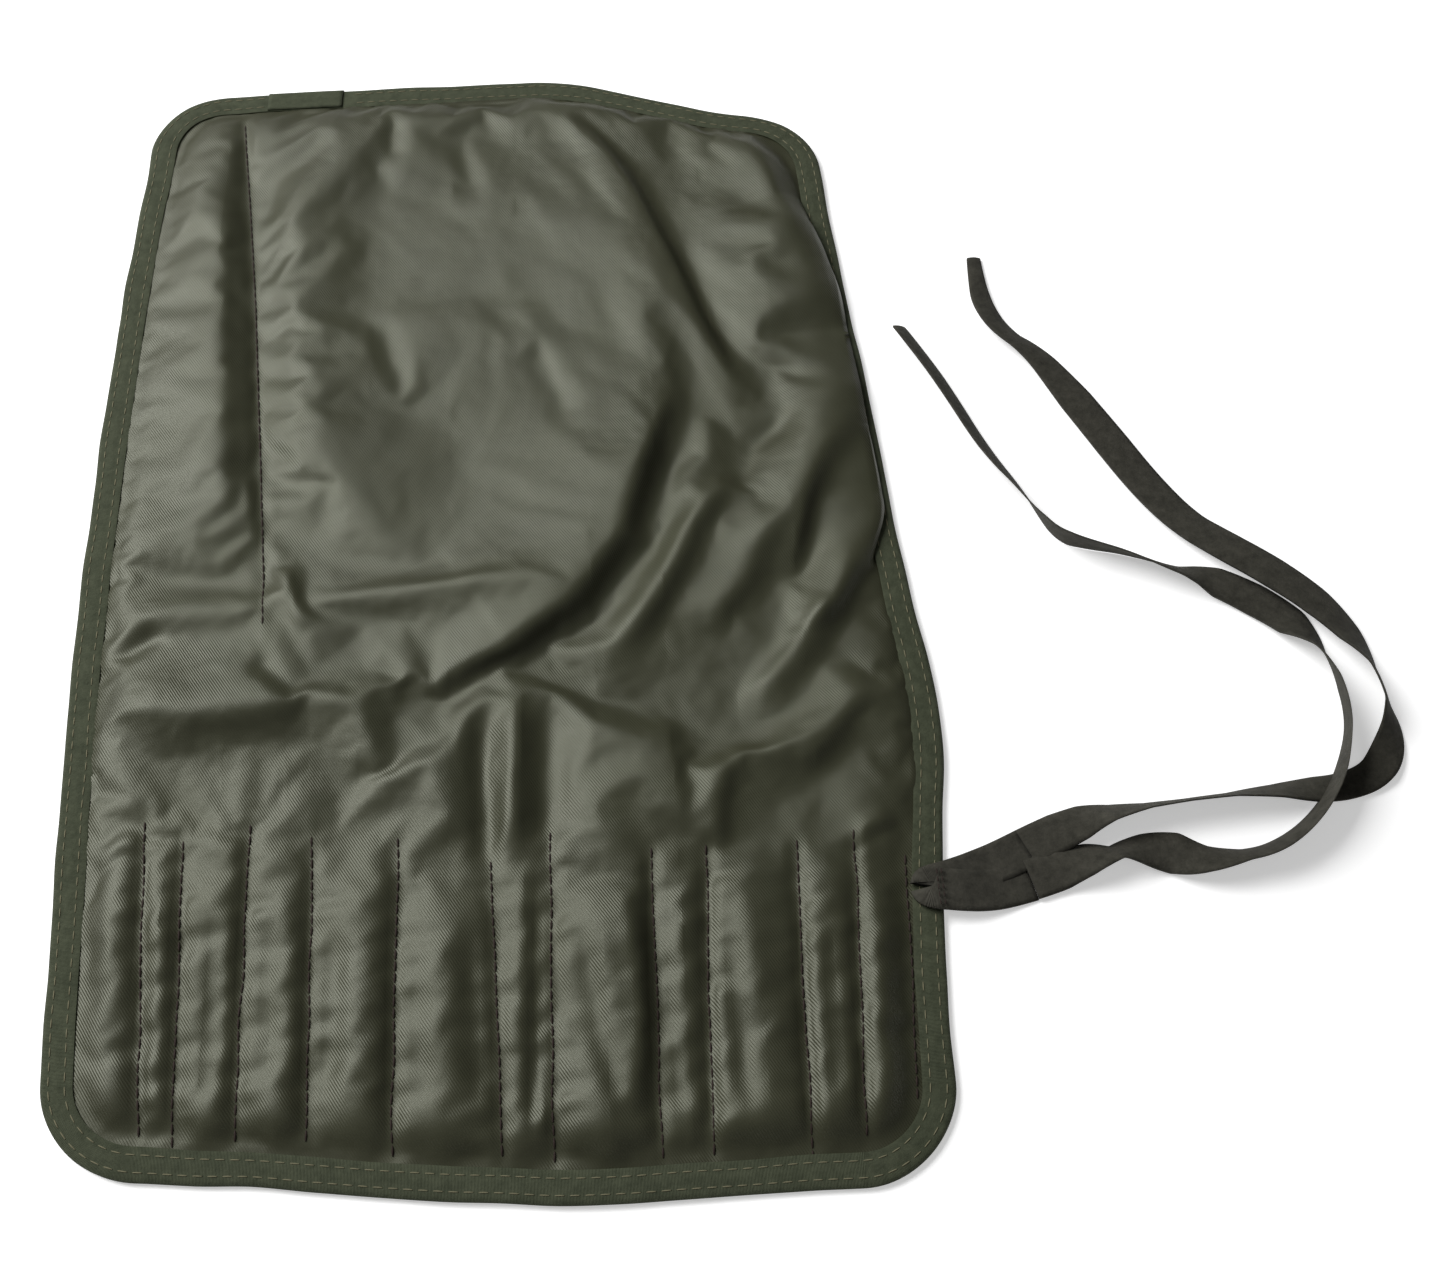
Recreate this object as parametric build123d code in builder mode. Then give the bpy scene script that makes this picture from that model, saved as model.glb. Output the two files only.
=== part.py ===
"""Roll-up brush case: a coated cloth shell, inner pocket panels, an edge binding and a folded tie tape.

The case lies open and flat with its outside face up and its pockets underneath. The origin is at the middle of
the case on the surface it lies on: +X points to the edge with the tie, +Y to the top edge, +Z up. Millimetres.
The cloth rolls up about its pocket seams, so each cloth piece is made in strips, one strip for each pocket.
"""

import math
import os

from build123d import *

os.makedirs("parts", exist_ok=True)

# Overall size
case_width = 266.0  # at the widest, half way up
case_length = 412.0
side_bow = 5.0  # how far each side swells past its ends
corner_radius = 27.0

# Pockets: these widths share out the case width between the divider seams, from the left edge to the tie edge
pocket_pattern = (28, 11, 18, 20, 25, 30, 16, 30, 16, 27, 17, 26)
pocket_depth = 104.0  # from the bottom edge to the mouth
pocket_room = 4.3  # height inside a pocket
upper_panel_depth = 228.0  # from the top edge to the mouth of the upper pocket
upper_divider_strip = 3  # the long seam that divides the upper pocket runs up the middle of this strip

# Cloth
shell_thickness = 0.9
panel_thickness = 0.7
wall_thickness = 0.7  # the side of a pocket, where the panel rises to its seam
strip_gap = 0.3  # play between neighbouring strips at a seam

# Binding: a tape folded over the whole edge
binding_cover = 9.5  # how much of it shows on each face
binding_thickness = 0.5
lap_strip = 4  # the tape ends lap on the top edge of this strip
lap_length = 17.0

# Thread
thread_width = 0.8
thread_height = 0.4
thread_end_margin = 6.0  # the long seam stops this far from the mouth and the binding

# Tie: one tape folded double and sewn to the right binding
tie_width = 12.7
tie_fold_thickness = 1.2
tie_fold_inside = 7.5  # how far the fold reaches in over the binding
tie_fold_outside = 27.0  # how far both layers run out past the edge together
tie_y = -126.0
tack_width = 2.0
tack_height = 0.4
tail_diameter = 4.0  # the loose tape, gathered to a round section

strip_count = len(pocket_pattern)
pocket_scale = case_width / sum(pocket_pattern)
seams = [pocket_scale * sum(pocket_pattern[:count]) - case_width / 2 for count in range(strip_count + 1)]
room_top = panel_thickness + pocket_room
shell_top = room_top + shell_thickness
case_top = shell_top + binding_thickness
half_length = case_length / 2
pocket_mouth = pocket_depth - half_length
upper_mouth = half_length - upper_panel_depth
far = case_width + case_length  # longer than anything that it cuts


def outline(inset):
    """The case outline, drawn in by inset: bowed sides, straight ends and round corners."""
    half_end = case_width / 2 - side_bow
    with BuildSketch(mode=Mode.PRIVATE) as face:
        with BuildLine():
            right = ThreePointArc((half_end, -half_length), (case_width / 2, 0), (half_end, half_length))
            Line(right @ 1, (-half_end, half_length))
            left = ThreePointArc((-half_end, half_length), (-case_width / 2, 0), (-half_end, -half_length))
            Line(left @ 1, right @ 0)
        make_face()
        fillet(face.vertices(), corner_radius)
        if inset:
            offset(amount=-inset, mode=Mode.REPLACE)
    return face.sketch


edge_line = outline(0)
tape_line = outline(binding_thickness)
cover_line = outline(binding_cover)
seam_line = outline(binding_cover + wall_thickness)


def strip_sides(index):
    """The left and right limits of a strip, open outward on the first and the last."""
    left = seams[index] + strip_gap / 2 if index else -far
    right = seams[index + 1] - strip_gap / 2 if index + 1 < strip_count else far
    return left, right


def keep(left, right, low, high, mode=Mode.INTERSECT):
    """Keep, or cut away, the part of a sketch within these limits."""
    with Locations(((left + right) / 2, (low + high) / 2)):
        Rectangle(right - left, high - low, mode=mode)


def finish(part, name):
    """Label one piece and write it."""
    part.label = name
    export_step(part, f"parts/{name}.step")


def make_shell(index):
    """The outer cloth, which runs under the binding's upper leaf to the edge."""
    with BuildPart() as shell:
        with BuildSketch(Plane.XY.offset(room_top)):
            add(tape_line)
            keep(*strip_sides(index), -far, far)
        extrude(amount=shell_thickness)
    finish(shell.part, f"shell_{index + 1:02d}")


def make_panel(index, low, high, wall_places, name):
    """An inner panel: flat below, with a seam allowance at the edge and walls that rise to its seams."""
    sides = strip_sides(index)
    with BuildPart() as panel:
        with BuildSketch(Plane.XY):
            add(cover_line)
            keep(*sides, low, high)
        extrude(amount=panel_thickness)
        with BuildSketch(Plane.XY.offset(binding_thickness)):
            add(tape_line)
            add(seam_line, mode=Mode.SUBTRACT)
            keep(*sides, low, high)
        extrude(amount=room_top - binding_thickness)
        for wall_left in wall_places:
            with BuildSketch(Plane.XY):
                add(cover_line)
                keep(wall_left, wall_left + wall_thickness, low, high)
            extrude(amount=room_top)
    finish(panel.part, name)


def make_pocket(index):
    """One pocket of the lower panel, open towards the top edge."""
    left, right = strip_sides(index)
    walls = [left] if index else []
    if index + 1 < strip_count:
        walls.append(right - wall_thickness)
    make_panel(index, -far, pocket_mouth, walls, f"pocket_{index + 1:02d}")


def make_upper_panel(index):
    """One strip of the upper panel, open towards the bottom edge and divided once by the long seam."""
    walls = [divider_x - wall_thickness / 2] if index + 1 == upper_divider_strip else []
    make_panel(index, upper_mouth, far, walls, f"upper_panel_{index + 1:02d}")


def make_binding(index):
    """The edge tape: a lower leaf, the fold at the edge and an upper leaf."""
    with BuildPart() as binding:
        for base, height, inner_line in (
            (0, binding_thickness, cover_line),
            (0, case_top, tape_line),
            (shell_top, binding_thickness, cover_line),
        ):
            with BuildSketch(Plane.XY.offset(base)):
                add(edge_line)
                add(inner_line, mode=Mode.SUBTRACT)
                keep(*strip_sides(index), -far, far)
            extrude(amount=height)
    finish(binding.part, f"binding_{index + 1:02d}")


divider_x = (seams[upper_divider_strip - 1] + seams[upper_divider_strip]) / 2
for strip in range(strip_count):
    make_shell(strip)
    make_pocket(strip)
    make_upper_panel(strip)
    make_binding(strip)

# The end of the binding tape, lapped over its start on the top edge
lap_left = seams[lap_strip - 1] + strip_gap
with BuildPart() as binding_lap:
    with BuildSketch(Plane.XY.offset(case_top)):
        add(edge_line)
        add(cover_line, mode=Mode.SUBTRACT)
        keep(lap_left, lap_left + lap_length, 0, far)
    extrude(amount=binding_thickness)
finish(binding_lap.part, "binding_lap")

# The thread of the long seam, on the shell above the upper pocket's divider
seam_low = upper_mouth + thread_end_margin
seam_high = half_length - binding_cover - thread_end_margin
with BuildPart() as upper_seam_thread:
    with Locations((divider_x, (seam_low + seam_high) / 2, shell_top)):
        Box(thread_width, seam_high - seam_low, thread_height, align=(Align.CENTER, Align.CENTER, Align.MIN))
finish(upper_seam_thread.part, "upper_seam_thread")

# The fold of the tie tape, flat on the right binding, and the tack that holds it
side_radius = ((half_length**2) + side_bow**2) / (2 * side_bow)
edge_x = case_width / 2 - side_radius + math.sqrt(side_radius**2 - tie_y**2)
with BuildPart() as tie_fold:
    with BuildSketch(Plane.XY.offset(case_top)):
        keep(edge_x - tie_fold_inside, edge_x + tie_fold_outside, tie_y - tie_width / 2, tie_y + tie_width / 2, Mode.ADD)
    extrude(amount=tie_fold_thickness)
finish(tie_fold.part, "tie_fold")

with BuildPart() as tie_tack:
    with Locations((edge_x - tie_fold_inside / 2, tie_y, case_top + tie_fold_thickness)):
        Box(tack_width, tie_width * 0.8, tack_height, align=(Align.CENTER, Align.CENTER, Align.MIN))
finish(tie_tack.part, "tie_tack")

# The two loose tails of the tie, lying on the surface: the front one passes over the back one once. Each point
# is given by how far it lies out from the side of the case, its Y and its height.
front_route = [
    (27, -128.5, 7), (36, -125, 5), (46, -121.5, 2), (57, -120, 2), (71, -121, 2), (87, -124, 2),
    (103, -121, 3), (117, -112, 9), (128, -97, 9), (133, -82, 3), (134, -68, 2), (129, -50, 2),
    (117, -37, 2), (102, -28, 2), (84, -22, 2), (67, -15, 2), (54, -10, 2), (46, 6, 2), (39, 24, 2),
    (34, 44, 2), (29, 65, 2), (27, 82, 2),
]  # fmt: skip
back_route = [
    (27, -121.5, 7), (36, -117, 5), (47, -111, 2), (61, -107.5, 2), (78, -105.5, 2),
    (95, -104.5, 2), (111, -104, 2), (127, -102.5, 2), (140, -98, 2), (147, -86, 2), (147, -70, 2), (142, -55, 2),
    (133, -42, 2), (121, -27, 2), (107, -14, 2), (95, 0, 2), (86, 16, 2), (77, 35, 2), (66, 54, 2),
    (55, 70, 2), (45, 84, 2), (42, 98, 2), (42, 113, 2),
]  # fmt: skip


def make_tail(route, name):
    """A loose tail: straight runs joined by arcs as large as the runs allow."""
    points = [Vector(case_width / 2 + out, y, z) for out, y, z in route]
    radii = []
    for before, corner, after in zip(points, points[1:], points[2:]):
        half_turn = math.radians((corner - before).get_angle(after - corner)) / 2
        shorter_run = min((corner - before).length, (after - corner).length)
        radii.append(0.45 * shorter_run / math.tan(half_turn))
    with BuildPart() as tail:
        with BuildLine() as path:
            FilletPolyline(*points, radius=radii)
        with BuildSketch(Plane(origin=path.wire() @ 0, z_dir=path.wire() % 0)):
            Circle(tail_diameter / 2)
        sweep(transition=Transition.ROUND)
    length = path.wire().length
    share = tail.part.volume / (length * math.pi * tail_diameter**2 / 4)
    print(f"{name}: length {length:.0f}, volume share {share:.3f}, radii {[round(radius) for radius in radii]}")
    finish(tail.part, name)


make_tail(front_route, "tie_tail_front")
make_tail(back_route, "tie_tail_back")
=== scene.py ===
"""Roll-up brush case, lying open with its outside face up: coated twill shell, inner panels, taped edge and tie."""
import math

import bmesh
import bpy
import numpy as np
from mathutils import Matrix, Vector
from mathutils.bvhtree import BVHTree


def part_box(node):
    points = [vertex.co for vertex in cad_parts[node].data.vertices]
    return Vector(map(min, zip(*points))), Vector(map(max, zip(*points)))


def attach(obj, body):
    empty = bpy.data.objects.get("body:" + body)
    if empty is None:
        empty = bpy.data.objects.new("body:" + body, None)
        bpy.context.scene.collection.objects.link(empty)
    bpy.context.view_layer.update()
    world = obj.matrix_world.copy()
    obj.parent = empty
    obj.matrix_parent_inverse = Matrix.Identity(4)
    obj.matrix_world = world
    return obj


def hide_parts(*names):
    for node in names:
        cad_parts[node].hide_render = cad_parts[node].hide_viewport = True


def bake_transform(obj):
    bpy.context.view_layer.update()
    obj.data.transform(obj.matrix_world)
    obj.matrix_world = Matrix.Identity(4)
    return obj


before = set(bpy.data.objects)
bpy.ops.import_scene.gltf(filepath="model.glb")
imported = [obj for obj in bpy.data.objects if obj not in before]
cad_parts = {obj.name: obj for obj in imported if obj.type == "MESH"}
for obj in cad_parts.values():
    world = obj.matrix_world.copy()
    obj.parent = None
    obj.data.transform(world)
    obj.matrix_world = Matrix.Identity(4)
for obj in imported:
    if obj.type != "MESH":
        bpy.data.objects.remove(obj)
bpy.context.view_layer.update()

# ---- Camera, floor and light ----
# A plain pale table top under soft light from a large window behind and to the left, seen from above the pockets.
camera = bpy.data.objects.new("camera", bpy.data.cameras.new("camera"))
bpy.context.collection.objects.link(camera)
bpy.context.scene.camera = camera
camera.data.lens = 42.35
camera.data.sensor_width = 36.0
camera_place = Vector((0.0557, -0.2933, 0.488))
view_turn = math.radians(3.8)
view_dip = math.radians(62.3)
view_along = Vector(
    (math.sin(view_turn) * math.cos(view_dip), math.cos(view_turn) * math.cos(view_dip), -math.sin(view_dip))
)
view_right = Vector((math.cos(view_turn), -math.sin(view_turn), 0.0))
view_up = view_right.cross(view_along)
turn = Matrix((view_right, view_up, -view_along)).transposed().to_4x4()
camera.matrix_world = Matrix.Translation(camera_place) @ turn
camera.data.clip_start = 0.01


def node_tree(name, roughness=0.6):
    """A new material with its tree, shader and output."""
    material = bpy.data.materials.new(name)
    material.use_nodes = True
    tree = material.node_tree
    shader = tree.nodes["Principled BSDF"]
    shader.inputs["Roughness"].default_value = roughness
    return material, tree, shader


floor_size = 40.0
floor_mesh = bpy.data.meshes.new("table_top")
floor_bm = bmesh.new()
bmesh.ops.create_grid(floor_bm, x_segments=1, y_segments=1, size=floor_size / 2)
bmesh.ops.translate(floor_bm, verts=floor_bm.verts, vec=(0, 0, -0.0004))
floor_bm.to_mesh(floor_mesh)
floor_bm.free()
table_top = bpy.data.objects.new("table_top", floor_mesh)
bpy.context.collection.objects.link(table_top)
table_paint, _, table_shader = node_tree("table_paint", 0.7)
table_shader.inputs["Base Color"].default_value = (0.92, 0.92, 0.92, 1)
table_shader.inputs["Emission Color"].default_value = (1, 1, 1, 1)
table_shader.inputs["Emission Strength"].default_value = 0.42
table_shader.inputs["Specular IOR Level"].default_value = 0.2
floor_mesh.materials.append(table_paint)


def soft_light(name, place, aim, size, power, colour=(1, 1, 1)):
    """A large square lamp, turned to face the case."""
    lamp = bpy.data.lights.new(name, "AREA")
    lamp.size = size
    lamp.energy = power
    lamp.color = colour
    lamp_object = bpy.data.objects.new(name, lamp)
    lamp_object.location = place
    lamp_object.rotation_euler = (Vector(aim) - Vector(place)).to_track_quat("-Z", "Y").to_euler()
    bpy.context.collection.objects.link(lamp_object)


soft_light("window", (-1.0, 0.62, 1.15), (-0.14, 0.0, 0.0), 1.1, 40)
soft_light("room_fill", (0.9, -1.2, 1.8), (0.05, 0.0, 0.0), 2.4, 2)
world = bpy.data.worlds.new("studio")
world.use_nodes = True
world.node_tree.nodes["Background"].inputs["Color"].default_value = (1, 1, 1, 1)
world.node_tree.nodes["Background"].inputs["Strength"].default_value = 0.13
bpy.context.scene.world = world
bpy.context.scene.view_settings.view_transform = "Standard"

# ---- Outer shell ----
# One piece of nylon twill, proofed on its outside face and sewn through to the inner panels. It is limp, so it lies
# in folds, swells between the pocket seams, and hangs over the binding at the upper right. It is cut at the middle
# of each strip into pieces, each spanning one fold of the case.
strip_boxes = [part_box(f"shell_{number:02d}") for number in range(1, 13)]
strip_middles = [(low[0] + high[0]) / 2 for low, high in strip_boxes]
shell_low = [min(low[axis] for low, high in strip_boxes) * 1000 for axis in range(3)]
shell_high = [max(high[axis] for low, high in strip_boxes) * 1000 for axis in range(3)]
tape_cover = 9.5
half_width = shell_high[0] + 0.5  # mm, as all the cloth's sizes are until its mesh is made
half_length = shell_high[1] + 0.5
side_bow = 5.0
corner_radius = 27.0


def inside_edge(x, y):
    """How far a point of the flat cloth is in from the edge."""
    side = half_width - side_bow * (y / half_length) ** 2
    across = np.abs(x) - side + corner_radius
    along = np.abs(y) - half_length + corner_radius
    beyond = np.hypot(np.maximum(across, 0), np.maximum(along, 0))
    return corner_radius - beyond - np.minimum(np.maximum(across, along), 0)


def ease(value):
    """A smooth rise from 0 to 1."""
    value = np.clip(value, 0, 1)
    return value * value * (3 - 2 * value)


def lie(x, y):
    """Where a point of the flat cloth lies: the soft case is pulled a little out of square."""
    share_x = x / half_width
    share_y = y / half_length
    top_shift = 5 - 24 * ease((share_x - 0.12) / 0.75)
    bottom_shift = 10 - 16 * ease((share_x + 1) / 1.3)
    left_shift = -3.2 * (1 - share_y**2)
    right_shift = 6.5 * np.exp(-(((y + 62) / 50) ** 2)) - 6.5 * ease((y + 10) / 190)
    moved_x = x + left_shift * ease(0.5 - share_x / 2) + right_shift * ease(0.5 + share_x / 2)
    moved_y = y + top_shift * ease(0.5 + share_y / 2) + bottom_shift * ease(0.5 - share_y / 2)
    return moved_x, moved_y


def along_route(x, y, route):
    """Signed distance from a route, with its left side positive, and the share of the route passed."""
    best = np.full(x.shape, 1e9)
    signed = np.zeros(x.shape)
    passed = np.zeros(x.shape)
    legs = [math.dist(a, b) for a, b in zip(route, route[1:])]
    done = 0.0
    for (x0, y0), (x1, y1), leg in zip(route, route[1:], legs):
        ux, uy = (x1 - x0) / leg, (y1 - y0) / leg
        t = np.clip((x - x0) * ux + (y - y0) * uy, 0, leg)
        gap_x, gap_y = x - x0 - t * ux, y - y0 - t * uy
        gap = np.hypot(gap_x, gap_y)
        side = np.where(ux * gap_y - uy * gap_x >= 0, 1.0, -1.0)
        closer = gap < best
        best = np.where(closer, gap, best)
        signed = np.where(closer, gap * side, signed)
        passed = np.where(closer, (done + t) / sum(legs), passed)
        done += leg
    return signed, passed


def fold(x, y, route, height, left, right, fade=0.3):
    """A crest, or a valley of negative height, that dies out at both ends of its route."""
    gap, passed = along_route(x, y, route)
    width = left + (right - left) * ease(0.5 - gap / (2 * min(left, right)))
    ends = ease(0.15 + passed / fade) * ease(0.15 + (1 - passed) / fade)
    return height * np.exp(-((gap / width) ** 2)) * ends


def rumple(x, y, cell_x, cell_y, seed):
    """Smooth random heights from -1 to 1 in cells of the given size."""
    lattice = np.random.default_rng(seed).uniform(-1, 1, (96, 96))
    across, up = x / cell_x + 40, y / cell_y + 48
    column, row = np.floor(across).astype(int) % 95, np.floor(up).astype(int) % 95
    part_x, part_y = ease(across - np.floor(across)), ease(up - np.floor(up))
    low = lattice[row, column] * (1 - part_x) + lattice[row, column + 1] * part_x
    high = lattice[row + 1, column] * (1 - part_x) + lattice[row + 1, column + 1] * part_x
    return low * (1 - part_y) + high * part_y


# Each pocket seam's upper and lower end, and how high and how lopsided the cloth swells to its left
pocket_seams = [
    ((-107, -91), (-101, -188), 1.7, 0.0),
    ((-95, -98), (-91, -189), 1.4, -0.2),
    ((-75, -94), (-74, -191), 1.9, -0.4),
    ((-56, -99), (-54, -193), 2.1, -0.3),
    ((-30, -101), (-30, -197), 2.3, -0.4),
    ((-2, -110), (1, -199), 2.5, 0.1),
    ((16, -102), (15, -200), 1.9, -0.6),
    ((46, -110), (45, -204), 3.2, -0.3),
    ((63, -110), (59, -204), 1.9, 0.4),
    ((90, -110), (87, -205), 3.0, 0.3),
    ((108, -108), (102, -200), 1.9, 0.3),
    ((123, -116), (118, -190), 1.7, 0.1),
]
long_seam = [(-95, 194), (-86, 107), (-79, 26), (-75, -24)]

# The large folds: the route of each crest, its height, and its width to the left and the right of the route
folds = [
    # both sides of the long seam
    ([(-103, 190), (-99, 110), (-93, 40), (-90, -8)], 3.6, 6.5, 13),
    ([(-75, 186), (-69, 110), (-64, 40), (-62, 0)], 2.8, 12, 9),
    ([(-91, 190), (-82, 107), (-75, 26), (-72, -10)], -1.6, 7, 6),
    # left of the long seam
    ([(-122, 129), (-112, 136), (-102, 141)], -0.9, 5, 6),
    ([(-118, 176), (-113, 160)], -1.0, 4, 4),
    # the upper middle
    ([(-38, 188), (-37, 170)], -0.9, 3.5, 3.5),
    ([(-13, 190), (-11, 168), (-6, 146)], -0.8, 4, 5),
    ([(-40, 99), (-38, 82), (-32, 62)], -1.0, 4.5, 5),
    ([(12, 84), (20, 62), (24, 45)], -1.2, 4.5, 6),
    ([(18, 185), (30, 165), (38, 140)], -1.0, 5, 6),
    ([(2, 120), (8, 100), (16, 88)], 0.8, 6, 6),
    # the long slope down to the right
    ([(28, 184), (46, 150), (60, 112), (72, 78), (80, 50)], 3.4, 8, 34),
    ([(96, 140), (106, 110), (110, 80)], 4.4, 22, 20),
    ([(68, 128), (75, 95), (84, 66)], -1.4, 6, 6),
    ([(86, 175), (100, 158), (112, 136), (120, 112)], 2.2, 9, 9),
    # the great dark fold across the middle
    ([(57, 62), (47, 30), (39, 2), (24, -20), (2, -37), (-21, -46)], 4.4, 6, 30),
    ([(64, 52), (55, 24), (46, -2), (30, -30), (5, -50)], -2.2, 8, 6),
    ([(82, 30), (64, 2), (51, -24), (36, -44)], 3.2, 5, 6),
    ([(74, 50), (70, 30), (60, 10)], 1.6, 5, 5),
    ([(92, 8), (80, -18), (66, -36)], 1.8, 5, 7),
    # the fold that ends the overhang on the right
    ([(128, 66), (113, 42), (102, 12), (93, -20)], 4.2, 4.5, 13),
    ([(100, 46), (86, 33), (77, 16)], -2.0, 6, 6),
    ([(132, -11), (118, -15), (109, -30), (97, -38)], 4.2, 3.5, 10),
    ([(110, -28), (94, -48), (80, -62)], 2.2, 6, 5),
    ([(122, 40), (119, 10), (124, -8)], 1.2, 5, 5),
    # the lobe on the left, below the mouth of the upper pocket
    ([(-57, -46), (-70, -54), (-95, -56), (-122, -50)], 3.8, 9, 14),
    ([(-121, -36), (-106, -25)], -2.0, 4, 4),
    ([(-60, -9), (-80, -19), (-122, -20)], 1.2, 6, 8),
    ([(-66, -3), (-90, -9), (-121, -4)], -1.1, 7, 6),
    ([(-71, -2), (-61, -29)], 1.6, 3, 3.5),
    ([(-78, -37), (-60, -53)], -1.6, 4, 4),
    ([(-62, -18), (-20, -15), (12, -13), (34, -27)], 0.7, 3, 4),
    ([(-59, -52), (-44, -58), (-37, -80)], 1.6, 6, 8),
    # above the pockets
    ([(6, -54), (6, -80), (4, -112)], 3.0, 4, 4.5),
    ([(-4, -58), (-4, -85), (-3, -118)], -2.6, 4, 4.5),
    ([(17, -56), (16, -85), (14, -110)], -2.2, 6, 5),
    ([(36, -58), (33, -90), (32, -118)], 2.4, 13, 13),
    ([(50, -64), (54, -85), (55, -108)], 2.0, 4, 9),
    ([(71, -80), (67, -95), (65, -112)], 2.6, 4, 7),
    ([(70, -81), (82, -82), (92, -80)], 1.6, 3.5, 6),
    ([(119, -55), (104, -73), (90, -88)], 3.0, 6, 12),
    ([(121, -104), (113, -107), (107, -113)], 1.6, 2.5, 4),
    ([(-122, -104), (-113, -98), (-101, -101)], 1.2, 3, 3),
    ([(-92, -98), (-75, -104), (-58, -108)], 0.9, 4, 4),
    ([(-22, -70), (-18, -90), (-12, -104)], 1.4, 7, 8),
    # within the pockets
    ([(12, -110), (11, -160), (9, -203)], -3.2, 2.6, 3.0),
    ([(24, -128), (29, -165), (37, -197)], -1.5, 3.5, 3.5),
    ([(38, -122), (42, -160), (37, -192)], 1.2, 3, 3.5),
    ([(50, -118), (49, -160), (51, -199)], -2.0, 3, 3.5),
    ([(-49, -124), (-47, -150), (-49, -186)], -1.6, 4, 4),
    ([(-24, -128), (-23, -155), (-21, -184)], -1.3, 4, 4),
    ([(67, -126), (69, -160), (70, -196)], -2.0, 4, 4),
    ([(-84, -120), (-82, -150), (-82, -182)], -1.4, 3.5, 3),
    ([(-67, -122), (-65, -180)], -1.2, 3.5, 3.5),
    ([(-8, -128), (-7, -160), (-5, -186)], -1.5, 3, 4),
    ([(98, -130), (96, -165), (94, -195)], -1.2, 3, 3),
]
shell_rest = 4.3  # the height at which the flat parts of the shell lie
rim_rest = 1.7  # the height of the shell inside the binding
cloth_left = 122.0  # how far left of the middle the first pocket begins


def seam_side(x, y, seam):
    """Distance to the right of a pocket seam's line, and how fully the seam acts at this height."""
    (top_x, top_y), (bottom_x, bottom_y) = seam[:2]
    line_x = bottom_x + (top_x - bottom_x) * (y - bottom_y) / (top_y - bottom_y)
    return x - line_x, ease((top_y + 5 - y) / 12)


def shell_height(x, y, inset):
    """The height of the shell's cloth, before it is worked over."""
    clear = np.maximum(inset - tape_cover, 0)
    free = 1 - np.exp(-((clear / 7) ** 2))
    height = np.zeros(x.shape)
    for route, rise, left, right in folds:
        height += fold(x, y, route, rise, left, right)
    height += 1.1 * rumple(x, y, 52, 60, 1) + 0.5 * rumple(x, y, 23, 31, 2) + 0.16 * rumple(x, y, 9, 12, 3)
    lefts = [None] + pocket_seams[:-1]
    for left_seam, seam in zip(lefts, pocket_seams):
        right_gap = seam_side(x, y, seam)[0]
        left_gap = seam_side(x, y, left_seam)[0] if left_seam else x + cloth_left
        width = np.maximum(left_gap - right_gap, 1)
        share = np.clip(left_gap / width, 0, 1)
        lean = share ** math.exp(-seam[3])
        within = (left_gap > 0) & (right_gap < 0)
        swollen = ease((seam[0][1] + 3 - y) / 34)
        height += np.where(within, 1.35 * seam[2] * np.sin(np.pi * lean) ** 0.8, 0) * swollen
    pull = np.zeros(x.shape)
    for number, seam in enumerate(pocket_seams):
        gap, act = seam_side(x, y, seam)
        near = np.exp(-((gap / 6.5) ** 2)) * act
        side_seed = np.where(gap > 0, 1.0, -1.0)
        pull += 0.8 * near * rumple(x + 3 * side_seed, y, 11, 4.6, 20 + number) * (1 - np.exp(-((gap / 1.6) ** 2)))
        height -= (1.0 + 0.5 * height) * np.exp(-((gap / 2.3) ** 2)) * act * 0.8
    gap, passed = along_route(x, y, long_seam)
    height -= (1.6 + 0.5 * height) * np.exp(-((gap / 2.6) ** 2)) * ease((1 - passed) * 12)
    near = np.exp(-((gap / 7) ** 2)) * (1 - np.exp(-((gap / 2) ** 2)))
    pull += 0.4 * near * rumple(x, y, 12, 7, 40)
    rim_near = np.exp(-((clear / 9) ** 2)) * (1 - np.exp(-((clear / 2.2) ** 2)))
    top_or_bottom = ease((np.abs(y) - 160) / 30)
    pull += rim_near * (
        1.1 * top_or_bottom * rumple(x, y, 7.5, 26, 50) + 0.7 * (1 - top_or_bottom) * rumple(x, y, 26, 11, 51)
    )
    height = height * free + pull
    return rim_rest + (shell_rest - rim_rest) * free + height


cell = 1.5
shell_hidden = 4.0  # the cloth reaches this near the edge, inside the binding
columns = round(2 * (half_width - shell_hidden) / cell)
rows = round(2 * (half_length - shell_hidden) / cell)
shell_bm = bmesh.new()
bmesh.ops.create_grid(shell_bm, x_segments=columns, y_segments=rows, size=1.0)
flat = np.array([vert.co[:2] for vert in shell_bm.verts])
flat_x = flat[:, 0] * (half_width - shell_hidden)
flat_y = flat[:, 1] * (half_length - shell_hidden)
inset = inside_edge(flat_x, flat_y)
lie_x, lie_y = lie(flat_x, flat_y)
lie_z = np.maximum(shell_height(lie_x, lie_y, inset), 1.5)
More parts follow.
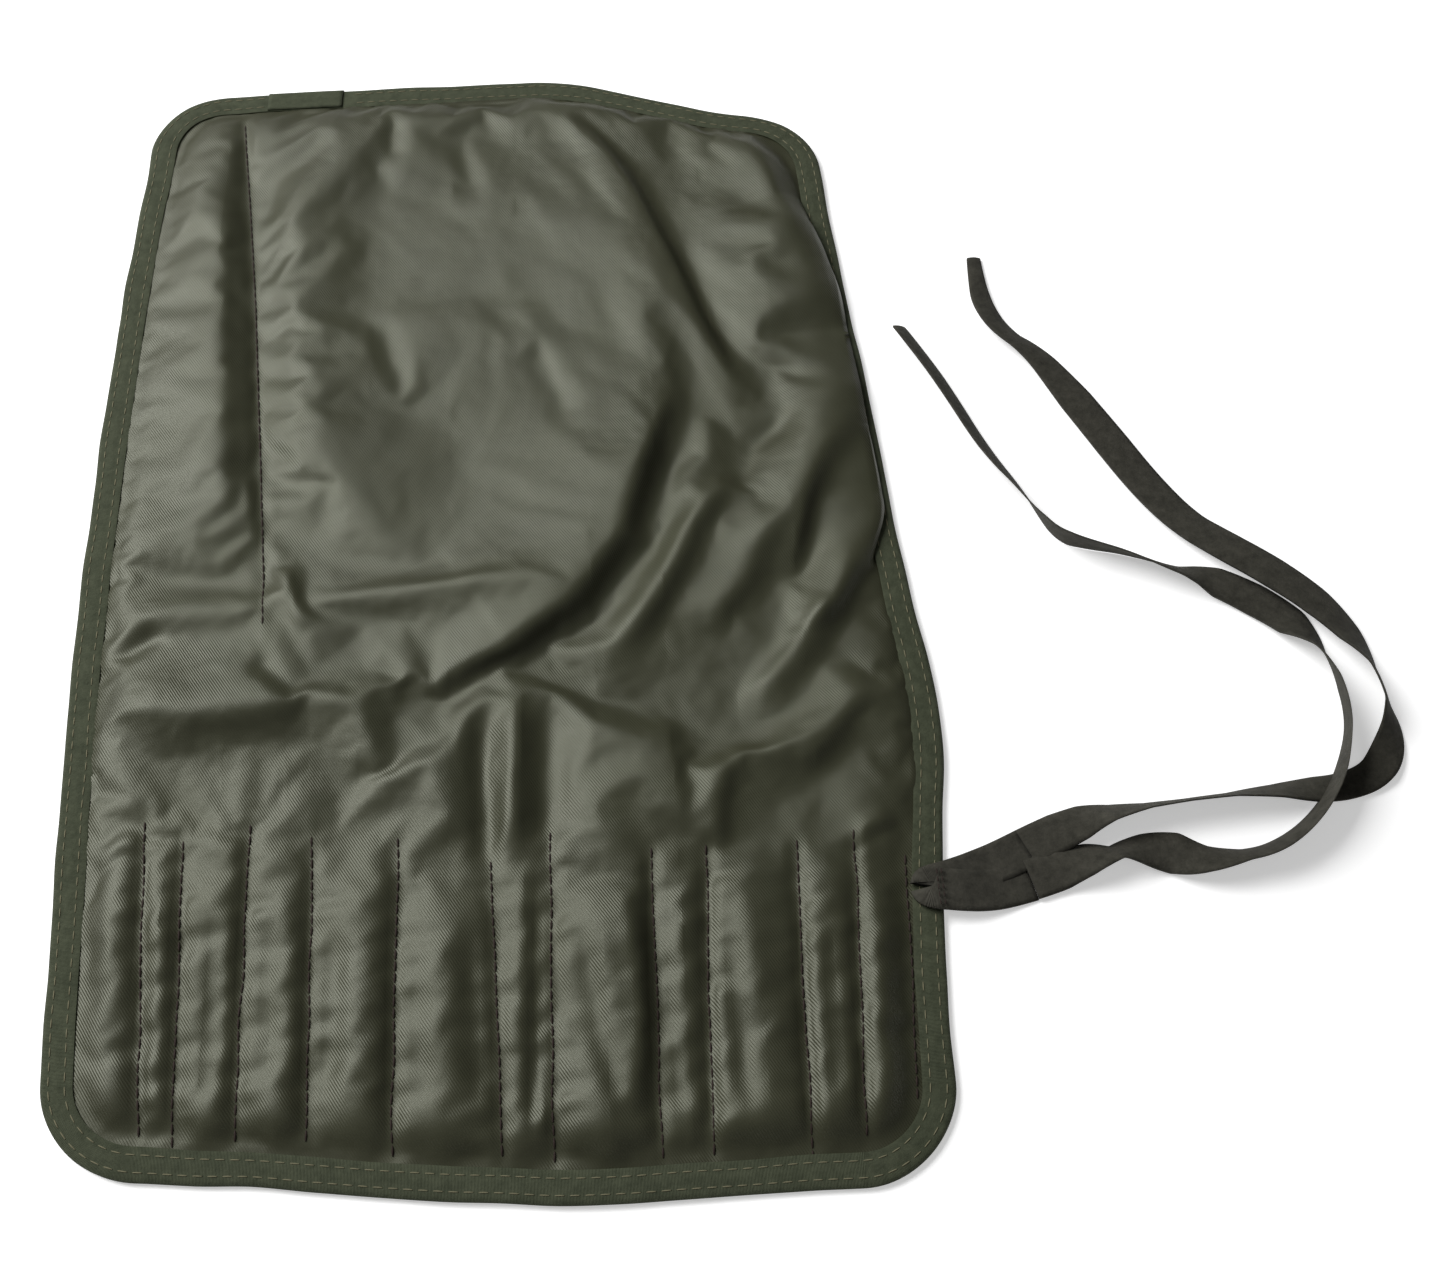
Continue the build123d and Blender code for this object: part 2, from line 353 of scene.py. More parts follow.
# the overhang: near the right edge the cloth swells out over the binding and turns back under itself
overhang = 10.5 * ease((165 - lie_y) / 70) * ease((lie_y + 24) / 34) * (lie_x > 0)
back = np.maximum(half_width - side_bow * (flat_y / half_length) ** 2 - tape_cover - flat_x, 0)
swell = (1 - np.exp(-((back / 2.5) ** 2))) * np.exp(-((back / 9.5) ** 2)) * 1.35
lie_x = lie_x + overhang * swell
lie_z = lie_z + overhang * 0.26 * (1 - np.exp(-((back / 3.0) ** 2))) * np.exp(-((back / 16) ** 2))
for vert, x, y, z in zip(shell_bm.verts, lie_x, lie_y, lie_z):
    vert.co = (x / 1000, y / 1000, z / 1000)
outside = [vert for vert, depth in zip(shell_bm.verts, inset) if depth < shell_hidden]
bmesh.ops.delete(shell_bm, geom=outside, context="VERTS")
bmesh.ops.smooth_vert(shell_bm, verts=shell_bm.verts, factor=0.5, use_axis_x=True, use_axis_y=True, use_axis_z=True)

# The cloth is cut a little larger than the panels it is sewn to, so it buckles between its seams: it is held at the
# rim and the seams, let grow and let settle on a flat bed that stands for the panels. The work is done ten times
# full size.
work_scale = 10.0
panel_level = 1.9  # mm, the height the cloth can sink to
cloth_growth = 0.018
settling_frames = 20


def settle_cloth(cloth_bm, held, shares, growth, frames):
    """Let the cloth buckle and settle, with the held vertices fixed; each goes its share of the way."""
    mesh = bpy.data.meshes.new("settling_cloth")
    cloth_bm.to_mesh(mesh)
    mesh.transform(Matrix.Diagonal((work_scale, work_scale, work_scale, 1)))
    cloth_object = bpy.data.objects.new("settling_cloth", mesh)
    bpy.context.collection.objects.link(cloth_object)
    group = cloth_object.vertex_groups.new(name="held")
    for index, weight in enumerate(held):
        if weight > 0.02:
            group.add([index], float(weight), "REPLACE")
    modifier = cloth_object.modifiers.new("settle", "CLOTH")
    cloth = modifier.settings
    cloth.vertex_group_mass = "held"
    cloth.quality = 4
    cloth.mass = 0.04
    cloth.tension_stiffness = 25
    cloth.compression_stiffness = 25
    cloth.shear_stiffness = 12
    cloth.bending_stiffness = 4.0
    cloth.tension_damping = 12
    cloth.compression_damping = 12
    cloth.shear_damping = 12
    cloth.bending_damping = 1.5
    cloth.air_damping = 4
    cloth.shrink_min = -growth
    cloth.effector_weights.gravity = 0.04
    modifier.collision_settings.distance_min = 0.002
    modifier.collision_settings.use_self_collision = False
    bed_mesh = bpy.data.meshes.new("settling_bed")
    bed_bm = bmesh.new()
    bmesh.ops.create_grid(bed_bm, x_segments=1, y_segments=1, size=3.0)
    bmesh.ops.translate(bed_bm, verts=bed_bm.verts, vec=(0, 0, panel_level * work_scale / 1000 - 0.004))
    bed_bm.to_mesh(bed_mesh)
    bed_bm.free()
    bed = bpy.data.objects.new("settling_bed", bed_mesh)
    bpy.context.collection.objects.link(bed)
    bed.modifiers.new("bed", "COLLISION")
    bed.collision.thickness_outer = 0.002
    modifier.point_cache.frame_end = frames
    for frame_number in range(1, frames + 1):
        bpy.context.scene.frame_set(frame_number)
    depsgraph = bpy.context.evaluated_depsgraph_get()
    settled = cloth_object.evaluated_get(depsgraph).to_mesh()
    places = [vert.co / work_scale for vert in settled.vertices]
    bpy.data.objects.remove(cloth_object)
    bpy.data.objects.remove(bed)
    bpy.data.meshes.remove(mesh)
    bpy.data.meshes.remove(bed_mesh)
    bpy.context.scene.frame_set(1)
    for vert, place, share in zip(cloth_bm.verts, places, shares):
        vert.co = vert.co.lerp(place, share)


spots = np.array([vert.co for vert in shell_bm.verts]) * 1000
held = np.zeros(len(spots))
for seam in pocket_seams:
    gap, act = seam_side(spots[:, 0], spots[:, 1], seam)
    held = np.maximum(held, (np.abs(gap) < 1.3) * (act > 0.4))
gap, passed = along_route(spots[:, 0], spots[:, 1], long_seam)
held = np.maximum(held, (np.abs(gap) < 1.3) * (passed < 0.999))
kept_inset = [depth for depth in inset if depth >= shell_hidden]
held = np.maximum(held, np.array(kept_inset) < tape_cover - 0.5)
# how far each place goes: less where the pockets and the long seam's sleeve hold the cloth, and at the overhang
place_x, place_y = spots[:, 0], spots[:, 1]
shares = 0.78 - 0.42 * ease((-88 - place_y) / 22)
shares -= 0.38 * ease((-70 - place_x) / 16) * ease((place_y - 5) / 30)
shares -= 0.45 * ease((place_x - 100) / 16) * ease((place_y + 40) / 20)
settle_cloth(shell_bm, held, shares, cloth_growth, settling_frames)

uv_layer = shell_bm.loops.layers.uv.new("cloth")
for face in shell_bm.faces:
    for loop in face.loops:
        loop[uv_layer].uv = (loop.vert.co.x * 10, loop.vert.co.y * 10)
shell_tree = BVHTree.FromBMesh(shell_bm)


piece_limits = [-1.0] + strip_middles[1:-1] + [1.0]


def set_whole_normals(mesh):
    """Shade a cut piece as the whole cloth was shaded, so that its cut edges don't show."""
    whole = mesh.attributes["whole_normal"].data
    normals = []
    for polygon in mesh.polygons:
        for index in polygon.vertices:
            normal = Vector(whole[index].vector)
            agreement = normal.dot(polygon.normal)
            normals.append(normal if agreement > 0.35 else -normal if agreement < -0.35 else polygon.normal.copy())
    mesh.normals_split_custom_set(normals)


def bend_with(piece):
    """Bake a piece's placement into its mesh."""
    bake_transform(piece)


def add_piece(name, piece_bm, material):
    """A smooth mesh object with its material and slot."""
    mesh = bpy.data.meshes.new(name)
    piece_bm.to_mesh(mesh)
    piece_bm.free()
    mesh.materials.append(material)
    for polygon in mesh.polygons:
        polygon.use_smooth = True
    piece = bpy.data.objects.new(name, mesh)
    bpy.context.collection.objects.link(piece)
    return piece


def split_at_strips(source_bm, name, thickness, material, nodes):
    """Cut one cloth at the middle of each strip, give each piece its thickness and hide the parts it replaces."""
    for cut in strip_middles[1:-1]:
        geometry = source_bm.verts[:] + source_bm.edges[:] + source_bm.faces[:]
        bmesh.ops.bisect_plane(source_bm, geom=geometry, plane_co=(cut, 0, 0), plane_no=(1, 0, 0), dist=1e-7)
    source_bm.normal_update()
    normal_layer = source_bm.verts.layers.float_vector.new("whole_normal")
    for vert in source_bm.verts:
        vert[normal_layer] = vert.normal
    pieces = []
    for number, (low, high) in enumerate(zip(piece_limits, piece_limits[1:]), start=1):
        piece_bm = source_bm.copy()
        wrong = [f for f in piece_bm.faces if not low < f.calc_center_median().x < high]
        bmesh.ops.delete(piece_bm, geom=wrong, context="FACES")
        loose = [v for v in piece_bm.verts if not v.link_faces]
        bmesh.ops.delete(piece_bm, geom=loose, context="VERTS")
        if not piece_bm.faces:
            piece_bm.free()
            continue
        bmesh.ops.solidify(piece_bm, geom=piece_bm.faces[:], thickness=thickness)
        piece = add_piece(f"{name}_{number:02d}", piece_bm, material)
        set_whole_normals(piece.data)
        bend_with(piece)
        replaced = [f"{node}_{number:02d}" for node in nodes]
        if number == 11:
            replaced += [f"{node}_12" for node in nodes]
        if replaced:
            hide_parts(*replaced)
        pieces.append(piece)
    return pieces


def cloth_material(name, colour_dark, colour_light, roughness, twill_strength):
    """Olive twill: diagonal ribs, mottled colour and a proofing that is worn smoother in places."""
    material, tree, shader = node_tree(name, roughness)
    nodes, links = tree.nodes, tree.links
    place = nodes.new("ShaderNodeTexCoord")
    mottle = nodes.new("ShaderNodeTexNoise")
    mottle.inputs["Scale"].default_value = 28
    mottle.inputs["Detail"].default_value = 6
    mottle.inputs["Roughness"].default_value = 0.65
    links.new(place.outputs["Object"], mottle.inputs["Vector"])
    colours = nodes.new("ShaderNodeValToRGB")
    colours.color_ramp.elements[0].position = 0.3
    colours.color_ramp.elements[0].color = (*colour_dark, 1)
    colours.color_ramp.elements[1].position = 0.7
    colours.color_ramp.elements[1].color = (*colour_light, 1)
    links.new(mottle.outputs["Fac"], colours.inputs["Fac"])
    links.new(colours.outputs["Color"], shader.inputs["Base Color"])
    rib_turn = nodes.new("ShaderNodeMapping")
    rib_turn.inputs["Rotation"].default_value = (0, 0, math.radians(-33))
    links.new(place.outputs["Object"], rib_turn.inputs["Vector"])
    ribs = nodes.new("ShaderNodeTexWave")
    ribs.wave_type = "BANDS"
    ribs.bands_direction = "X"
    ribs.inputs["Scale"].default_value = 430
    ribs.inputs["Distortion"].default_value = 0.6
    ribs.inputs["Detail"].default_value = 1.0
    ribs.inputs["Detail Scale"].default_value = 2.0
    links.new(rib_turn.outputs["Vector"], ribs.inputs["Vector"])
    grain = nodes.new("ShaderNodeTexNoise")
    grain.inputs["Scale"].default_value = 1500
    grain.inputs["Detail"].default_value = 2
    links.new(place.outputs["Object"], grain.inputs["Vector"])
    crumple = nodes.new("ShaderNodeTexNoise")
    crumple.inputs["Scale"].default_value = 120
    crumple.inputs["Detail"].default_value = 4
    links.new(place.outputs["Object"], crumple.inputs["Vector"])
    heights = (
        (crumple, "Fac", 0.12, 0.0006),
        (ribs, "Fac", twill_strength, 0.00012),
        (grain, "Fac", 0.18, 0.00008),
    )
    previous = None
    for source, output, strength, distance in heights:
        bump = nodes.new("ShaderNodeBump")
        bump.inputs["Strength"].default_value = strength
        bump.inputs["Distance"].default_value = distance
        links.new(source.outputs[output], bump.inputs["Height"])
        if previous:
            links.new(previous.outputs["Normal"], bump.inputs["Normal"])
        previous = bump
    links.new(previous.outputs["Normal"], shader.inputs["Normal"])
    wear = nodes.new("ShaderNodeMapRange")
    wear.inputs["To Min"].default_value = roughness - 0.06
    wear.inputs["To Max"].default_value = roughness + 0.10
    links.new(mottle.outputs["Fac"], wear.inputs["Value"])
    links.new(wear.outputs["Result"], shader.inputs["Roughness"])
    return material, shader


coated_cloth, coated_shader = cloth_material(
    "coated_twill", (0.027, 0.0275, 0.0145), (0.037, 0.038, 0.0205), 0.43, 0.5
)
coated_shader.inputs["Specular IOR Level"].default_value = 0.5
coated_shader.inputs["Specular Tint"].default_value = (0.97, 1.0, 0.84, 1)
shell_pieces = split_at_strips(shell_bm, "shell_cloth", 0.0006, coated_cloth, ["shell"])


# ---- Inner panels ----
# Two pieces of the same twill under the shell: the pocket panel along the bottom edge and the upper panel that hangs
# from the top edge. They are sewn through to the shell at the pocket seams and open at the mouths between them.
pocket_mouth = max(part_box(f"pocket_{number:02d}")[1][1] for number in range(1, 13)) * 1000
upper_mouth = min(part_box(f"upper_panel_{number:02d}")[0][1] for number in range(1, 13)) * 1000
panel_cell = 3.0


def shell_level(x, y):
    """The height of the shell's face above a point, in mm."""
    hit = shell_tree.ray_cast(Vector((x / 1000, y / 1000, 0.05)), Vector((0, 0, -1)))[0]
    return hit.z * 1000 if hit else rim_rest


def make_panel(name, low_y, high_y, nodes):
    """An inner panel between two heights of the case, raised to the shell at its seams and held low inside the
    binding.
    """
    panel_bm = bmesh.new()
    across = round(2 * (half_width - shell_hidden) / panel_cell)
    along = round((high_y - low_y) / panel_cell)
    bmesh.ops.create_grid(panel_bm, x_segments=across, y_segments=along, size=1.0)
    spots = np.array([vert.co[:2] for vert in panel_bm.verts])
    x = spots[:, 0] * (half_width - shell_hidden)
    y = low_y + (spots[:, 1] + 1) / 2 * (high_y - low_y)
    depth = inside_edge(x, y)
    x, y = lie(x, y)
    hem = np.minimum(np.abs(y - low_y), np.abs(y - high_y))
    z = 0.95 + 0.25 * rumple(x, y, 30, 26, 70) + 0.2 * rumple(x, y, 13, 17, 71) * ease(hem / 20)
    lift = np.zeros(x.shape)
    if low_y < -150:
        for seam in pocket_seams:
            gap, act = seam_side(x, y, seam)
            lift = np.maximum(lift, np.exp(-((gap / 2.0) ** 2)) * act)
    else:
        gap, passed = along_route(x, y, long_seam)
        lift = np.exp(-((gap / 2.0) ** 2)) * ease((1 - passed) * 12)
    raised = [shell_level(a, b) - 1.15 if share > 0.05 else 0 for a, b, share in zip(x, y, lift)]
    z = np.where(lift > 0.05, z * (1 - lift) + np.maximum(raised, 0.8) * lift, z)
    z = np.minimum(np.maximum(z, 0.62), np.where(depth < tape_cover + 1, 1.0, 9))
    for vert, place_x, place_y, place_z in zip(panel_bm.verts, x, y, z):
        vert.co = (place_x / 1000, place_y / 1000, place_z / 1000)
    outside = [vert for vert, inset_here in zip(panel_bm.verts, depth) if inset_here < shell_hidden]
    bmesh.ops.delete(panel_bm, geom=outside, context="VERTS")
    pieces = split_at_strips(panel_bm, name, 0.0004, panel_cloth, nodes)
    panel_bm.free()


panel_cloth, _ = cloth_material("panel_twill", (0.040, 0.042, 0.024), (0.055, 0.057, 0.034), 0.5, 0.7)
make_panel("pocket_panel", shell_low[1] + shell_hidden, pocket_mouth, ["pocket"])
make_panel("upper_panel_cloth", upper_mouth, shell_high[1] - shell_hidden, ["upper_panel"])

# ---- Edge binding ----
# One woven tape folded over the whole edge, its two ends lapped on the top edge left of the middle. It is stitched
# through in two rows, which draw it in a little, and it follows the waves of the cloth inside it.
# The inset and height of points across the folded tape, from its upper edge round to its lower edge
tape_across = [
    (9.5, 2.35),
    (8.5, 2.55),
    (7.2, 2.38),
    (6.0, 2.58),
    (4.3, 2.58),
    (2.6, 2.36),
    (1.5, 2.42),
    (0.6, 2.15),
    (0.1, 1.7),
    (0.0, 1.25),
    (0.1, 0.8),
    (0.6, 0.32),
    (1.6, 0.06),
    (2.6, 0.1),
    (4.3, 0.0),
    (6.0, 0.0),
    (7.2, 0.1),
    (8.5, 0.0),
    (9.5, 0.12),
]
tape_middle = 1.25  # the height of the folded edge
stitch_insets = (2.6, 7.2)
lap_x = (-87.0, -57.0)


def rim_walk(spacing):
    """Stations round the flat outline from the lap, each as the centre it turns about and its way out."""
    turn_y = half_length - corner_radius
    turn_x = half_width - side_bow - corner_radius
    walk = []
    runs = [
        ("line", (lap_x[1], turn_y), (-turn_x, turn_y), (0, 1), 0),
        ("corner", (-1, 1), 90, 180),
        ("line", (0, turn_y), (0, -turn_y), (-1, 0), -1),
        ("corner", (-1, -1), 180, 270),
        ("line", (-turn_x, -turn_y), (turn_x, -turn_y), (0, -1), 0),
        ("corner", (1, -1), 270, 360),
        ("line", (0, -turn_y), (0, turn_y), (1, 0), 1),
        ("corner", (1, 1), 0, 90),
        ("line", (turn_x, turn_y), (lap_x[1], turn_y), (0, 1), 0),
    ]
    for run in runs:
        if run[0] == "line":
            _, start, end, way, side = run
            count = round(math.dist(start, end) / spacing)
            for step in range(count):
                share = step / count
                centre = (start[0] + (end[0] - start[0]) * share, start[1] + (end[1] - start[1]) * share)
                walk.append((centre, way, side))
        else:
            _, (side_x, side_y), first, last = run
            count = round(corner_radius * math.pi / 2 / spacing)
            for step in range(count):
                angle = math.radians(first + (last - first) * step / count)
                walk.append(((0, side_y * turn_y), (math.cos(angle), math.sin(angle)), side_x))
    return walk


def rim_point(station, inset):
    """The flat place at an inset from a station of the edge."""
    (centre_x, centre_y), (way_x, way_y), side = station
    y = centre_y + (corner_radius - inset) * way_y
    if side:
        side_x = half_width - side_bow * (y / half_length) ** 2
        return side * (side_x - corner_radius) + (corner_radius - inset) * way_x, y
    return centre_x, y


def rim_wave(x, y, height):
    """How the folded tape lies at a place: nearly flat, with low waves on its upper face."""
    upper = ease((height - 0.3) / 2)
    return height + upper * (0.28 * rumple(x, y, 31, 31, 80) + 0.12 * rumple(x, y, 9, 9, 81))


def place_on_rim(stations, insets, heights, swell=0.0):
    """The lying places of rim points, in metres. The edge itself runs in and out by a fraction of a millimetre."""
    flat_places = np.array([rim_point(station, inset) for station, inset in zip(stations, insets)])
    x, y = lie(flat_places[:, 0], flat_places[:, 1])
    out = np.array([station[1] for station in stations])
    drift = 0.45 * rumple(x, y, 17, 17, 82) + swell
    x, y = x + out[:, 0] * drift, y + out[:, 1] * drift
    z = rim_wave(x, y, np.array(heights))
    return np.stack((x, y, z), axis=1) / 1000


rim = rim_walk(1.6)


def fold_tape(stations, grow, closed):
    """A folded tape along some stations of the edge, larger by grow where it laps over itself."""
    tape_bm = bmesh.new()
    long_count = len(stations) + (1 if closed else 0)
    bmesh.ops.create_grid(tape_bm, x_segments=long_count - 1, y_segments=len(tape_across) - 1, size=1.0)
    long_index = [round((vert.co.x + 1) / 2 * (long_count - 1)) for vert in tape_bm.verts]
    across_index = [round((vert.co.y + 1) / 2 * (len(tape_across) - 1)) for vert in tape_bm.verts]
    at = [stations[index % len(stations)] for index in long_index]
    insets = [tape_across[index][0] for index in across_index]
    heights = []
    for index in across_index:
        rise = tape_across[index][1] - tape_middle
        heights.append(tape_middle + rise * (1 + grow / tape_middle * (1 if rise > 0 else 0)))
    places = place_on_rim(at, insets, heights, swell=grow * 0.6)
    for vert, place in zip(tape_bm.verts, places):
        vert.co = place
    uv = tape_bm.loops.layers.uv.new("cloth")
    index_of = {vert: number for number, vert in enumerate(tape_bm.verts)}
    for face in tape_bm.faces:
        for loop in face.loops:
            number = index_of[loop.vert]
            loop[uv].uv = (long_index[number] * 0.16, across_index[number] * 0.12)
    if closed:
        bmesh.ops.remove_doubles(tape_bm, verts=tape_bm.verts, dist=1e-6)
    bmesh.ops.recalc_face_normals(tape_bm, faces=tape_bm.faces)
    tape_bm.normal_update()
    highest = max(tape_bm.faces, key=lambda face: face.calc_center_median().z)
    if highest.normal.z < 0:
        bmesh.ops.reverse_faces(tape_bm, faces=tape_bm.faces)
    return tape_bm


def tape_material(name, colour_dark, colour_light, scale):
    """Woven tape: fine ribs across it, a fuzz of loose fibres and uneven dye."""
    material, tree, shader = node_tree(name, 0.85)
    nodes, links = tree.nodes, tree.links
    place = nodes.new("ShaderNodeTexCoord")
    dye = nodes.new("ShaderNodeTexNoise")
    dye.inputs["Scale"].default_value = 260
    dye.inputs["Detail"].default_value = 8
    dye.inputs["Roughness"].default_value = 0.75
    links.new(place.outputs["Object"], dye.inputs["Vector"])
    colours = nodes.new("ShaderNodeValToRGB")
    colours.color_ramp.elements[0].position = 0.32
    colours.color_ramp.elements[0].color = (*colour_dark, 1)
    colours.color_ramp.elements[1].position = 0.68
    colours.color_ramp.elements[1].color = (*colour_light, 1)
    links.new(dye.outputs["Fac"], colours.inputs["Fac"])
    links.new(colours.outputs["Color"], shader.inputs["Base Color"])
    ribs = nodes.new("ShaderNodeTexWave")
    ribs.wave_type = "BANDS"
    ribs.bands_direction = "X"
    ribs.inputs["Scale"].default_value = scale
    ribs.inputs["Distortion"].default_value = 1.2
    ribs.inputs["Detail"].default_value = 2.0
    ribs.inputs["Detail Scale"].default_value = 3.0
    links.new(place.outputs["UV"], ribs.inputs["Vector"])
    rib_bump = nodes.new("ShaderNodeBump")
    rib_bump.inputs["Strength"].default_value = 0.6
    rib_bump.inputs["Distance"].default_value = 0.0002
    links.new(ribs.outputs["Fac"], rib_bump.inputs["Height"])
    fuzz = nodes.new("ShaderNodeTexNoise")
    fuzz.inputs["Scale"].default_value = 1100
    fuzz.inputs["Detail"].default_value = 3
    links.new(place.outputs["Object"], fuzz.inputs["Vector"])
    fuzz_bump = nodes.new("ShaderNodeBump")
    fuzz_bump.inputs["Strength"].default_value = 0.5
    fuzz_bump.inputs["Distance"].default_value = 0.00025
    links.new(fuzz.outputs["Fac"], fuzz_bump.inputs["Height"])
    links.new(rib_bump.outputs["Normal"], fuzz_bump.inputs["Normal"])
    links.new(fuzz_bump.outputs["Normal"], shader.inputs["Normal"])
    shader.inputs["Specular IOR Level"].default_value = 0.25
    return material


binding_tape = tape_material("binding_weave", (0.036, 0.043, 0.024), (0.068, 0.077, 0.046), 8.0)
binding_bm = fold_tape(rim, 0.0, closed=True)
split_at_strips(binding_bm, "binding_tape", 0.00042, binding_tape, ["binding"])
binding_bm.free()
lapped = [station for station in rim if station[1] == (0, 1) and lap_x[0] <= station[0][0] <= lap_x[1]]
lap_bm = fold_tape(lapped, 0.55, closed=False)
bmesh.ops.solidify(lap_bm, geom=lap_bm.faces[:], thickness=0.0004)
lap_piece = add_piece("binding_lap_tape", lap_bm, binding_tape)
bend_with(lap_piece)
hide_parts("binding_lap")

# ---- Stitching ----
# Lockstitch in cotton thread: two rows round the binding, one row down each pocket seam, and the long seam of the
# upper pocket. Each stitch is a short grain of thread, pulled down into the cloth at both ends.
thread_pieces = {}
grain_bm = bmesh.new()
bmesh.ops.create_uvsphere(grain_bm, u_segments=6, v_segments=4, radius=1.0)
grain_of_thread = bpy.data.meshes.new("grain_of_thread")
grain_bm.to_mesh(grain_of_thread)
grain_bm.free()


def sew(kind, number, start, end, thread):
    """One stitch between two places, in metres."""
    if (kind, number) not in thread_pieces:
        thread_pieces[kind, number] = bmesh.new()
    start, end = Vector(start), Vector(end)
    along = end - start
    placed = Matrix.Translation((start + end) / 2) @ along.to_track_quat("Z", "Y").to_matrix().to_4x4()
    placed @= Matrix.Diagonal((thread / 2, thread / 2, along.length / 2, 1))
    stitch = grain_of_thread.copy()
    stitch.transform(placed)
    thread_pieces[kind, number].from_mesh(stitch)
    bpy.data.meshes.remove(stitch)


def piece_at(x):
    """The number of the bending piece at an X in metres."""
    return sum(1 for cut in strip_middles[1:-1] if cut < x) + 1


def sew_row(kind, places, pitch, length, thread, under=None):
    """A row of stitches along places in metres; under gives the places of the same row on the lower face."""
    steps = np.linalg.norm(np.diff(places[:, :2], axis=0), axis=1)
    run = np.concatenate(([0], np.cumsum(steps)))
    for count in range(int(run[-1] / pitch)):
        ends = (count * pitch + (pitch - length) / 2, count * pitch + (pitch + length) / 2)
        for face in (places, under):
            if face is None:
                continue
            start, end = ([np.interp(end_run, run, face[:, axis]) for axis in range(3)] for end_run in ends)
            sew(kind, piece_at((start[0] + end[0]) / 2), start, end, thread)


def sew_through(row_x, row_y):
    """A row of brown stitches on the shell, in mm, with its other side under the panels."""
    row_z = np.array([shell_level(x, y) + 0.06 for x, y in zip(row_x, row_y)])
    over = np.stack((row_x, row_y, row_z), axis=1) / 1000
    below = np.stack((row_x, row_y, np.maximum(row_z - 1.75, 0.4)), axis=1) / 1000
    sew_row("seam_thread", over, 0.0035, 0.0033, 0.00075, below)


fine_rim = rim_walk(0.8)
for row_inset in stitch_insets:
    upper_z = max(height for inset_across, height in tape_across if inset_across == row_inset) + 0.05
    over = place_on_rim(fine_rim, [row_inset] * len(fine_rim), [upper_z] * len(fine_rim))
    below = place_on_rim(fine_rim, [row_inset] * len(fine_rim), [0.02] * len(fine_rim))
    sew_row("binding_thread", over, 0.0042, 0.0031, 0.00046, below)
seam_steps = 120
for number, seam in enumerate(pocket_seams):
    (top_x, top_y), (bottom_x, bottom_y) = seam[:2]
    row_x = np.linspace(top_x, bottom_x, seam_steps)
    row_y = np.linspace(top_y, bottom_y, seam_steps)
    sew_through(row_x + 0.5 * rumple(row_x + 5 * number, row_y, 14, 14, 90), row_y)
row_y = np.linspace(long_seam[0][1], long_seam[-1][1] - 4, 400)
row_x = np.interp(-row_y, [-point[1] for point in long_seam], [point[0] for point in long_seam])
sew_through(row_x, row_y)


def thread_material(name, colour):
    """Cotton thread of one colour."""
    material, _, shader = node_tree(name, 0.8)
    shader.inputs["Base Color"].default_value = (*colour, 1)
    shader.inputs["Specular IOR Level"].default_value = 0.3
    return material


thread_colours = {
    "binding_thread": thread_material("olive_thread", (0.15, 0.14, 0.085)),
    "seam_thread": thread_material("brown_thread", (0.022, 0.013, 0.010)),
}
for (kind, number), row_bm in thread_pieces.items():
    row = add_piece(f"{kind}_{number:02d}", row_bm, thread_colours[kind])
    bend_with(row)
    if kind == "seam_thread" and number == 3:
        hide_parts("upper_seam_thread")

# ---- Tie ----
# One soft woven tape folded double and tacked to the right binding by its fold. Its two halves run off loose over
# the table, each twisting on edge where it turns; the front one ends square and the back one narrows to its end.
tie_width = 12.7
tie_thickness = 1.0
tie_tape = tape_material("tie_weave", (0.024, 0.023, 0.017), (0.058, 0.055, 0.043), 10.0)


def ribbon(centres, banks, widths, across=8, side_way=None):
    """A flat tape along centres (metres), turned about its run by banks (degrees), as wide as widths (mm)."""
    ribbon_bm = bmesh.new()
    long_count = len(centres)
    bmesh.ops.create_grid(ribbon_bm, x_segments=long_count - 1, y_segments=across, size=1.0)
    uv = ribbon_bm.loops.layers.uv.new("cloth")
    run = [0.0]
    for before, after in zip(centres, centres[1:]):
        run.append(run[-1] + (after - before).length)
    frames = []
    for index in range(long_count):
        along = (centres[min(index + 1, long_count - 1)] - centres[max(index - 1, 0)]).normalized()
        level = Vector((0, 0, 1)).cross(along)
        if side_way and level.length < 0.7:
            level = side_way - along * along.dot(side_way)
        elif side_way and level.dot(side_way) < 0:
            level.negate()
        level.normalize()
        frames.append(Matrix.Rotation(math.radians(banks[index]), 3, along) @ level)
    for vert in ribbon_bm.verts:
        index = round((vert.co.x + 1) / 2 * (long_count - 1))
        side = vert.co.y * widths[index] / 2000
        up = frames[index].cross(centres[min(index + 1, long_count - 1)] - centres[max(index - 1, 0)]).normalized()
        cup = 0 if side_way else -0.00055 * (vert.co.y**2) * up.z * min(1, index / 8)
        for loop in vert.link_loops:
            loop[uv].uv = (run[index] * 100, vert.co.y * 0.6)
        vert.co = centres[index] + frames[index] * side + up * cup
    bmesh.ops.solidify(ribbon_bm, geom=ribbon_bm.faces[:], thickness=tie_thickness / 1000)
    bmesh.ops.recalc_face_normals(ribbon_bm, faces=ribbon_bm.faces)
    return ribbon_bm


